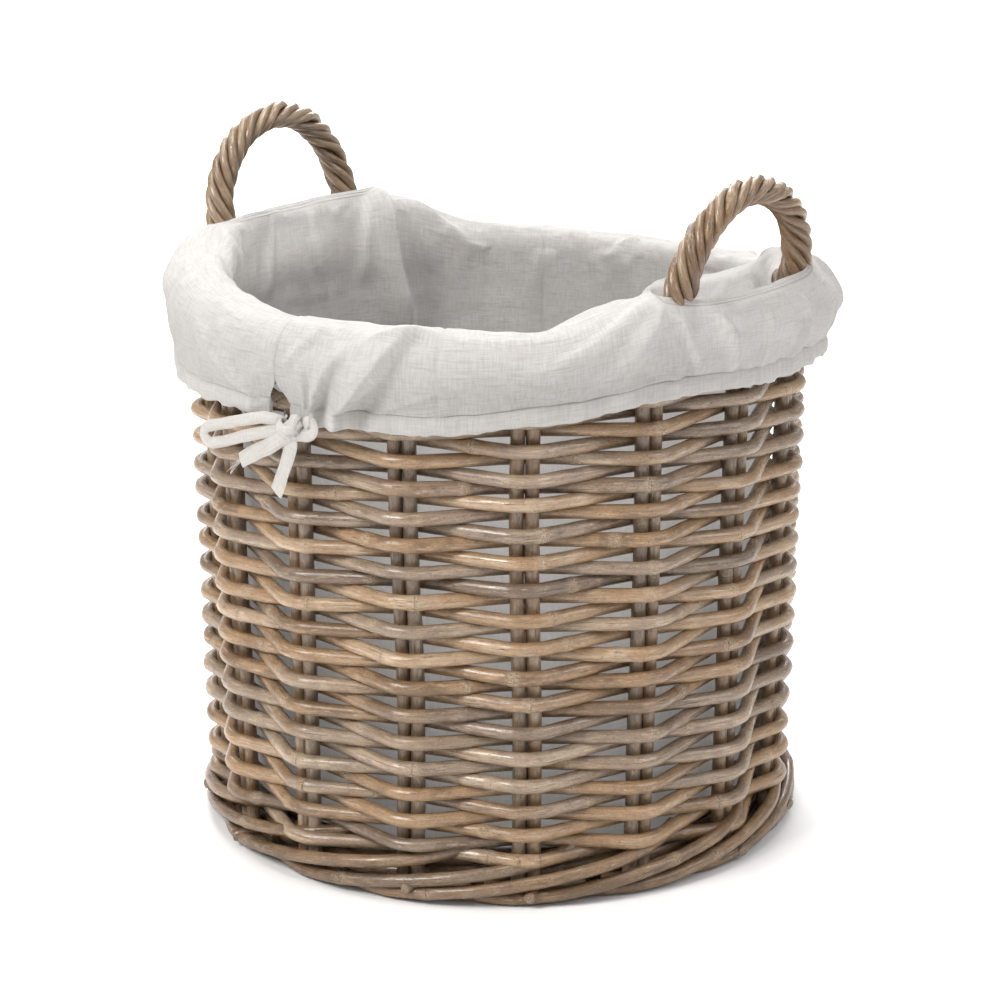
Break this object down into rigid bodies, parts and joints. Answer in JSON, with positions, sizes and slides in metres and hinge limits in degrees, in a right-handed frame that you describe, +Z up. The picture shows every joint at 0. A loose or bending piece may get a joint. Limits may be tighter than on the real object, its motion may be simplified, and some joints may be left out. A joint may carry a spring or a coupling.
{
  "type": "log basket",
  "caption": "Round woven cane log basket with two roped carrying handles and a lift-out cotton liner whose cuff folds over the rim and ties with a bow.",
  "frame": {"origin": "middle of the underside, on the surface that the basket stands on", "axes": "+Z up; the handles stand on the X axis, one at each end; the liner's bow is at the front, on -Y"},
  "size_m": [0.506, 0.5131, 0.5241],
  "materials": {
    "weaver_cane": "grey-brown natural cane, semi-gloss skin with nodes and fine splits",
    "stake_cane": "darker peeled cane, satin",
    "handle_cane": "twisted cane, semi-gloss, worn at the top",
    "liner_cotton": "off-white plain-weave cotton canvas, washed, with seams and gathers",
    "tie_tape": "off-white cotton tape with frayed ends"
  },
  "bodies": {
    "basket": {"stake_pair_01": "stake_cane", "stake_pair_02": "stake_cane", "stake_pair_03": "stake_cane", "stake_pair_04": "stake_cane", "stake_pair_05": "stake_cane", "stake_pair_06": "stake_cane", "stake_pair_07": "stake_cane", "stake_pair_08": "stake_cane", "stake_pair_09": "stake_cane", "stake_pair_10": "stake_cane", "stake_pair_11": "stake_cane", "stake_pair_12": "stake_cane", "stake_pair_13": "stake_cane", "stake_pair_14": "stake_cane", "stake_pair_15": "stake_cane", "stake_pair_16": "stake_cane", "weaver_a1": "weaver_cane", "weaver_a2": "weaver_cane", "weaver_a3": "weaver_cane", "weaver_a4": "weaver_cane", "weaver_a5": "weaver_cane", "weaver_b1": "weaver_cane", "weaver_b2": "weaver_cane", "weaver_b3": "weaver_cane", "weaver_b4": "weaver_cane", "weaver_b5": "weaver_cane", "base_stick_lower_1": "stake_cane", "base_stick_lower_2": "stake_cane", "base_stick_lower_3": "stake_cane", "base_stick_lower_4": "stake_cane", "base_stick_upper_1": "stake_cane", "base_stick_upper_2": "stake_cane", "base_stick_upper_3": "stake_cane", "base_stick_upper_4": "stake_cane", "base_weave": "weaver_cane", "foot_border": "weaver_cane", "rim_border": "weaver_cane", "handle_core_right": "handle_cane", "handle_strand_right_1": "handle_cane", "handle_strand_right_2": "handle_cane", "handle_strand_right_3": "handle_cane", "handle_strand_right_4": "handle_cane", "handle_strand_right_5": "handle_cane", "handle_strand_right_6": "handle_cane", "handle_core_left": "handle_cane", "handle_strand_left_1": "handle_cane", "handle_strand_left_2": "handle_cane", "handle_strand_left_3": "handle_cane", "handle_strand_left_4": "handle_cane", "handle_strand_left_5": "handle_cane", "handle_strand_left_6": "handle_cane"},
    "liner": {"liner_body": "liner_cotton", "liner_floor": "liner_cotton", "hem_channel": "liner_cotton", "tie_knot": "tie_tape", "tie_loop_left": "tie_tape", "tie_loop_right": "tie_tape", "tie_tail_left": "tie_tape", "tie_tail_down": "tie_tape"}
  },
  "joints": [
    {"name": "liner_lift", "type": "slide", "parent": "basket", "child": "liner", "axis": [0, 0, 1], "range_m": [0, 0.52]}
  ]
}
